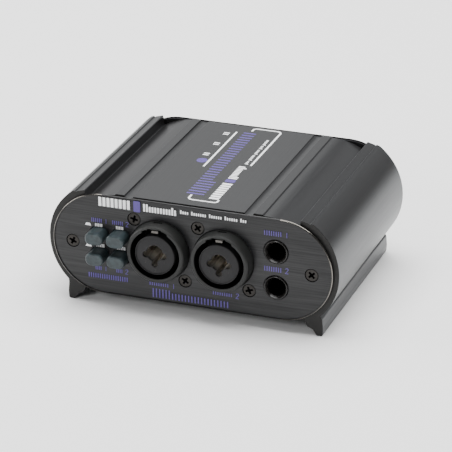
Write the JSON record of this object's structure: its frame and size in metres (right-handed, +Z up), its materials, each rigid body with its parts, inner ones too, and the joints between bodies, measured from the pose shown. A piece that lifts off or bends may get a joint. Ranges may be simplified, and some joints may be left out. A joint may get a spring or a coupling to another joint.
{
  "type": "direct injection box",
  "caption": "Compact stage box with combined XLR and jack inputs, link jacks and push-buttons in front, XLR outputs behind, in an extruded aluminium case.",
  "frame": {"origin": "middle of the bounding box in plan, on the surface that the feet stand on", "axes": "+X to the right seen from the front panel, +Y from the front panel to the rear panel, +Z up"},
  "size_m": [0.118, 0.096, 0.047],
  "materials": {
    "case_anodised": "anodised satin grey",
    "panel_anodised": "brushed dark satin",
    "screw_black": "black oxide",
    "connector_plastic": "moulded satin",
    "insert_plastic": "moulded satin",
    "bushing_plastic": "moulded satin",
    "spring_steel": "plain",
    "tinned_contact": "tin plate",
    "cap_grey": "polished grey",
    "plunger_white": "moulded",
    "switch_plastic": "moulded",
    "circuit_board": "solder mask",
    "header_plastic": "moulded",
    "battery_wrap": "printed sleeve",
    "snap_plastic": "moulded",
    "capacitor_sleeve": "shrunk sleeve",
    "chip_plastic": "moulded"
  },
  "bodies": {
    "case": {"attenuator_1_spring": "spring_steel", "attenuator_1_switch": "switch_plastic", "attenuator_2_spring": "spring_steel", "attenuator_2_switch": "switch_plastic", "battery": "battery_wrap", "battery_snap": "snap_plastic", "battery_tray": "snap_plastic", "board_header": "header_plastic", "capacitors": "capacitor_sleeve", "case_extrusion": "case_anodised", "dc_jack_body": "connector_plastic", "dc_jack_contacts": "tinned_contact", "front_board": "circuit_board", "front_panel": "panel_anodised", "front_panel_screws": "screw_black", "ground_lift_1_spring": "spring_steel", "ground_lift_1_switch": "switch_plastic", "ground_lift_2_spring": "spring_steel", "ground_lift_2_switch": "switch_plastic", "input_1_housing": "connector_plastic", "input_1_insert": "insert_plastic", "input_1_jack_contacts": "tinned_contact", "input_1_xlr_contacts": "tinned_contact", "input_2_housing": "connector_plastic", "input_2_insert": "insert_plastic", "input_2_jack_contacts": "tinned_contact", "input_2_xlr_contacts": "tinned_contact", "input_screws": "screw_black", "main_board": "circuit_board", "op_amps": "chip_plastic", "output_1_insert": "connector_plastic", "output_1_pins": "tinned_contact", "output_1_shell": "connector_plastic", "output_2_insert": "connector_plastic", "output_2_pins": "tinned_contact", "output_2_shell": "connector_plastic", "output_screws": "screw_black", "power_spring": "spring_steel", "power_switch": "switch_plastic", "rear_panel": "panel_anodised", "rear_panel_screws": "screw_black", "thru_1_body": "connector_plastic", "thru_1_bushing": "bushing_plastic", "thru_1_contacts": "tinned_contact", "thru_2_body": "connector_plastic", "thru_2_bushing": "bushing_plastic", "thru_2_contacts": "tinned_contact"},
    "ground_lift_button_1": {"ground_lift_1_cap": "cap_grey", "ground_lift_1_plunger": "plunger_white"},
    "ground_lift_button_2": {"ground_lift_2_cap": "cap_grey", "ground_lift_2_plunger": "plunger_white"},
    "attenuator_button_1": {"attenuator_1_cap": "cap_grey", "attenuator_1_plunger": "plunger_white"},
    "attenuator_button_2": {"attenuator_2_cap": "cap_grey", "attenuator_2_plunger": "plunger_white"},
    "power_button": {"power_cap": "cap_grey", "power_plunger": "plunger_white"},
    "input_latch_1": {"input_1_latch": "spring_steel"},
    "input_latch_2": {"input_2_latch": "spring_steel"}
  },
  "joints": [
    {"name": "ground_lift_1_push", "type": "slide", "parent": "case", "child": "ground_lift_button_1", "axis": [0, 1, 0], "range_m": [0, 0.002], "stiffness_N_per_m": 400, "springref_m": -0.001, "deforming": ["ground_lift_1_spring"]},
    {"name": "ground_lift_2_push", "type": "slide", "parent": "case", "child": "ground_lift_button_2", "axis": [0, 1, 0], "range_m": [0, 0.002], "stiffness_N_per_m": 400, "springref_m": -0.001, "deforming": ["ground_lift_2_spring"]},
    {"name": "attenuator_1_push", "type": "slide", "parent": "case", "child": "attenuator_button_1", "axis": [0, 1, 0], "range_m": [0, 0.002], "stiffness_N_per_m": 400, "springref_m": -0.001, "deforming": ["attenuator_1_spring"]},
    {"name": "attenuator_2_push", "type": "slide", "parent": "case", "child": "attenuator_button_2", "axis": [0, 1, 0], "range_m": [0, 0.002], "stiffness_N_per_m": 400, "springref_m": -0.001, "deforming": ["attenuator_2_spring"]},
    {"name": "power_push", "type": "slide", "parent": "case", "child": "power_button", "axis": [0, -1, 0], "range_m": [0, 0.002], "stiffness_N_per_m": 400, "springref_m": -0.001, "deforming": ["power_spring"]},
    {"name": "input_1_latch_lift", "type": "hinge", "parent": "case", "child": "input_latch_1", "pos_m": [-0.0126, -0.0296, 0.0368], "axis": [-1, 0, 0], "range_deg": [0, 1.7], "stiffness_Nm_per_rad": 0.05, "springref_deg": -2.86},
    {"name": "input_2_latch_lift", "type": "hinge", "parent": "case", "child": "input_latch_2", "pos_m": [0.0134, -0.0296, 0.0368], "axis": [-1, 0, 0], "range_deg": [0, 1.7], "stiffness_Nm_per_rad": 0.05, "springref_deg": -2.86}
  ]
}
